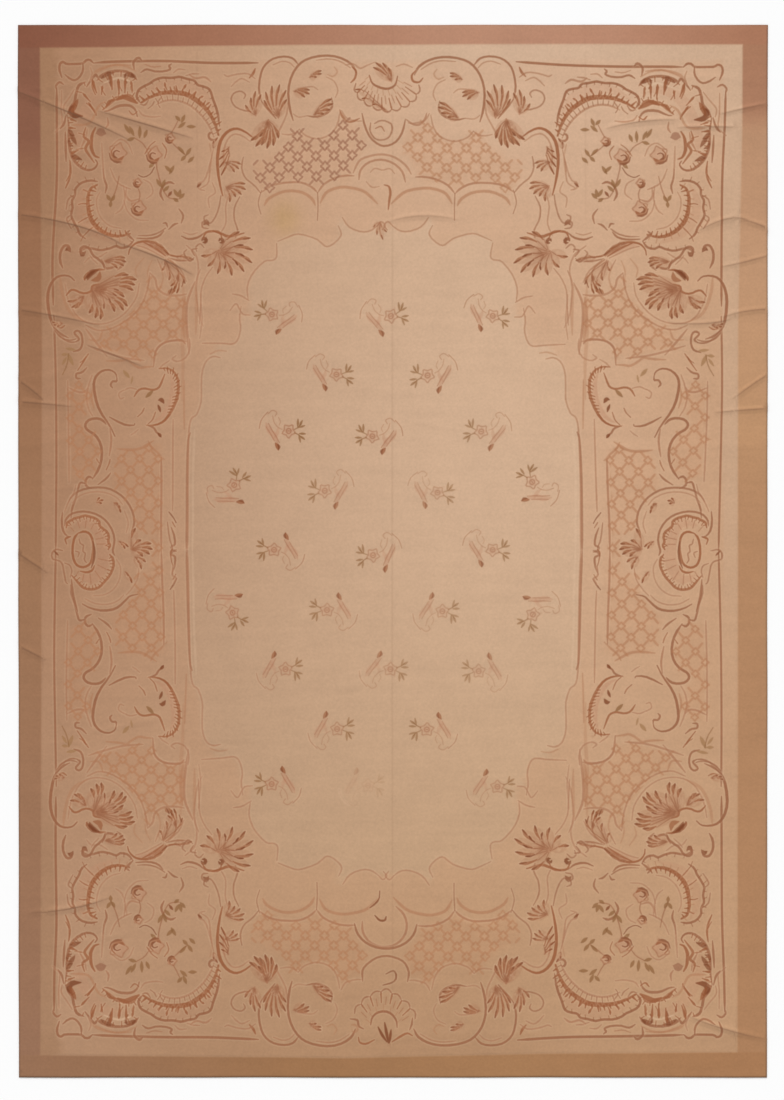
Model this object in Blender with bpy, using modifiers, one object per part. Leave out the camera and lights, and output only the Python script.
"""A room-size tapestry rug in the Aubusson manner: one flat-woven cloth, lying on a floor.

Metres, +Z up. The origin is on the floor under the rug's middle. +X runs across the rug, and
+Y runs along it, to the end whose band kept its rosy colour. The cloth is one sheet. It lies
flat but for the creases that folding and handling left in it, which stand up as low ridges.
"""

import math
from collections import namedtuple

import bmesh
import bpy
from mathutils import Vector
from mathutils.geometry import delaunay_2d_cdt

# Size of the cloth
ROSY_END_WIDTH = 3.050
TAN_END_WIDTH = 3.042
LENGTH = 4.280
THICKNESS = 0.003

# Spacing of the sheet's points
FLAT_SPACING = 0.24
STATION_SPACING = 0.06
FEWEST_STATIONS, MOST_STATIONS = 5, 18
RAILS = (-1.0, -0.5, 0.0, 0.5, 1.0)  # across a crease, in reaches from its crest
CLEAR_OF_CREASE = 1.7  # a flat point stays this many reaches from every crest
MERGE_DISTANCE = 0.0008

# Colour of the wool, seen as a whole
WOOL_COLOUR = (0.56, 0.36, 0.23, 1.0)
WOOL_ROUGHNESS = 0.95

# A crease runs from start through bend to end. Its crest stands height over the flat cloth and
# its foot is reach away on either side. It sinks to nothing at both ends, so one that runs out
# over the rug's edge has an end point outside the cloth.
Crease = namedtuple("Crease", "place start bend end height reach")
CREASES = (
    Crease("rosy left corner, outer", (-1.64, 1.91), (-1.305, 1.778), (-1.06, 1.665), 0.0060, 0.026),
    Crease("rosy left corner, inner", (-1.20, 1.79), (-1.028, 1.741), (-0.81, 1.677), 0.0050, 0.024),
    Crease("left side, upper", (-1.64, 1.38), (-1.30, 1.326), (-1.08, 1.232), 0.0050, 0.026),
    Crease("left side, upper run on", (-1.13, 1.255), (-0.95, 1.192), (-0.81, 1.120), 0.0035, 0.024),
    Crease("left side, second", (-1.62, 0.995), (-1.36, 0.953), (-1.20, 0.917), 0.0045, 0.024),
    Crease("left side, third", (-1.25, 0.842), (-1.13, 0.795), (-1.01, 0.748), 0.0030, 0.022),
    Crease("left edge, short", (-1.60, 0.74), (-1.485, 0.667), (-1.42, 0.610), 0.0040, 0.022),
    Crease("left side, long low one", (-1.66, 0.615), (-1.46, 0.602), (-1.30, 0.586), 0.0040, 0.024),
    Crease("left band, middle", (-1.60, 0.04), (-1.475, -0.042), (-1.40, -0.092), 0.0040, 0.020),
    Crease("left band, lower", (-1.60, -0.35), (-1.475, -0.410), (-1.41, -0.445), 0.0040, 0.020),
    Crease("tan left corner", (-1.49, -1.470), (-1.31, -1.452), (-1.15, -1.408), 0.0045, 0.024),
    Crease("tan right corner", (1.20, -1.890), (1.36, -1.945), (1.53, -1.985), 0.0055, 0.022),
    Crease("rosy right corner, inner", (0.86, 1.715), (1.01, 1.745), (1.16, 1.752), 0.0045, 0.022),
    Crease("rosy right corner, middle", (1.15, 1.720), (1.28, 1.724), (1.42, 1.722), 0.0040, 0.020),
    Crease("rosy right corner, band", (1.33, 1.775), (1.42, 1.797), (1.54, 1.822), 0.0040, 0.018),
    Crease("right side, upper", (1.24, 1.300), (1.37, 1.352), (1.46, 1.334), 0.0050, 0.022),
    Crease("right side, upper run out", (1.42, 1.345), (1.50, 1.322), (1.62, 1.262), 0.0050, 0.022),
    Crease("right band, second", (1.33, 1.155), (1.43, 1.175), (1.60, 1.222), 0.0035, 0.020),
    Crease("right side, third", (1.12, 0.928), (1.27, 0.925), (1.38, 0.945), 0.0030, 0.020),
    Crease("right side, third run out", (1.34, 0.948), (1.46, 0.978), (1.64, 0.985), 0.0045, 0.022),
    Crease("right side, fourth", (1.38, 0.615), (1.47, 0.682), (1.60, 0.765), 0.0040, 0.020),
    Crease("right side, long low one", (1.30, 0.562), (1.44, 0.574), (1.62, 0.586), 0.0040, 0.020),
    Crease("field, under the rosy end", (-0.03, 1.332), (0.11, 1.362), (0.27, 1.345), 0.0035, 0.020),
    Crease("storage fold, middle", (0.0, 2.20), (-0.003, 0.0), (0.0, -2.20), 0.0012, 0.020),
    Crease("storage fold, left", (-0.797, 2.24), (-0.796, 1.75), (-0.794, 1.30), 0.0012, 0.018),
    Crease("storage fold, right", (0.781, 2.24), (0.782, 1.75), (0.783, 1.30), 0.0012, 0.018),
)


def clear_scene():
    """Removes whatever the open file holds."""
    for old in list(bpy.data.objects):
        bpy.data.objects.remove(old, do_unlink=True)


def on_crest(crease, share):
    """The point of a crease's crest at a share of its way, on a curve through its three points."""
    start, bend, end = Vector(crease.start), Vector(crease.bend), Vector(crease.end)
    pull = 2 * bend - (start + end) / 2
    back = 1 - share
    return back * back * start + 2 * back * share * pull + share * share * end


def crest_stations(crease):
    """Evenly shared points along a crest, as (share, point)."""
    span = (Vector(crease.end) - Vector(crease.start)).length
    count = round(span / STATION_SPACING)
    count = min(MOST_STATIONS, max(FEWEST_STATIONS, count))
    shares = [i / count for i in range(count + 1)]
    return [(share, on_crest(crease, share)) for share in shares]


def nearest_on_crest(crease, point):
    """The distance from a point to a crest, and the share of the way where the crest is nearest."""
    best = (math.inf, 0.0)
    stations = crest_stations(crease)
    for (share_a, a), (share_b, b) in zip(stations, stations[1:]):
        run = b - a
        along = min(1.0, max(0.0, (point - a).dot(run) / run.length_squared))
        distance = (point - (a + along * run)).length
        best = min(best, (distance, share_a + along * (share_b - share_a)))
    return best


def cloth_height(point):
    """How far the cloth's underside stands off the floor at a point."""
    highest = 0.0
    for crease in CREASES:
        distance, share = nearest_on_crest(crease, point)
        if distance >= crease.reach:
            continue
        across = 0.5 + 0.5 * math.cos(math.pi * distance / crease.reach)
        along = math.sin(math.pi * share) ** 0.5
        highest = max(highest, crease.height * across * along)
    return highest


def outline_points():
    """The cloth's four corners, anticlockwise from the tan end's left corner."""
    half = LENGTH / 2
    return [
        Vector((-TAN_END_WIDTH / 2, -half)),
        Vector((TAN_END_WIDTH / 2, -half)),
        Vector((ROSY_END_WIDTH / 2, half)),
        Vector((-ROSY_END_WIDTH / 2, half)),
    ]


def flat_points():
    """Points of the cloth that lie clear of every crease."""
    across = round(ROSY_END_WIDTH / FLAT_SPACING)
    along = round(LENGTH / FLAT_SPACING)
    for i in range(1, across):
        for j in range(1, along):
            x = (i / across - 0.5) * TAN_END_WIDTH
            y = (j / along - 0.5) * LENGTH
            point = Vector((x, y))
            gaps = (nearest_on_crest(c, point)[0] / c.reach for c in CREASES)
            if min(gaps) > CLEAR_OF_CREASE:
                yield point


def crease_rails(crease):
    """Lines that run beside a crest, at each of RAILS, for the sheet's edges to follow."""
    stations = crest_stations(crease)
    for rail in RAILS:
        line = []
        for share, point in stations:
            ahead = on_crest(crease, share + 0.01) - on_crest(crease, share - 0.01)
            side = Vector((-ahead.y, ahead.x)).normalized()
            line.append(point + side * (rail * crease.reach))
        yield line


def sheet_mesh():
    """The cloth's underside: triangles that follow every crease, raised to the cloth's height."""
    outline = outline_points()
    points = list(outline)
    edges = []
    for crease in CREASES:
        for line in crease_rails(crease):
            first = len(points)
            points.extend(line)
            edges.extend((first + i, first + i + 1) for i in range(len(line) - 1))
    points.extend(flat_points())
    inside_only = 1
    flat, _, faces, _, _, _ = delaunay_2d_cdt(
        points, edges, [list(range(len(outline)))], inside_only, MERGE_DISTANCE
    )
    mesh = bpy.data.meshes.new("rug")
    mesh.from_pydata([(p.x, p.y, cloth_height(p)) for p in flat], [], faces)
    return mesh


def wool_material():
    """Matte wool in the rug's mean colour."""
    wool = bpy.data.materials.new("wool_tapestry")
    wool.use_nodes = True
    shader = wool.node_tree.nodes["Principled BSDF"]
    shader.inputs["Base Color"].default_value = WOOL_COLOUR
    shader.inputs["Roughness"].default_value = WOOL_ROUGHNESS
    shader.inputs["Metallic"].default_value = 0.0
    return wool


def make_rug(collection):
    """The woven sheet, thickened upwards from its underside."""
    mesh = sheet_mesh()
    tidy = bmesh.new()
    tidy.from_mesh(mesh)
    bmesh.ops.recalc_face_normals(tidy, faces=tidy.faces)
    if sum(face.normal.z for face in tidy.faces) < 0:
        bmesh.ops.reverse_faces(tidy, faces=tidy.faces)
    tidy.to_mesh(mesh)
    tidy.free()
    mesh.materials.append(wool_material())
    rug = bpy.data.objects.new("rug", mesh)
    collection.objects.link(rug)
    thicken = rug.modifiers.new("cloth thickness", "SOLIDIFY")
    thicken.thickness = THICKNESS
    thicken.offset = 1.0
    return rug


def main():
    clear_scene()
    collection = bpy.data.collections.new("aubusson_rug")
    bpy.context.scene.collection.children.link(collection)
    make_rug(collection)


main()
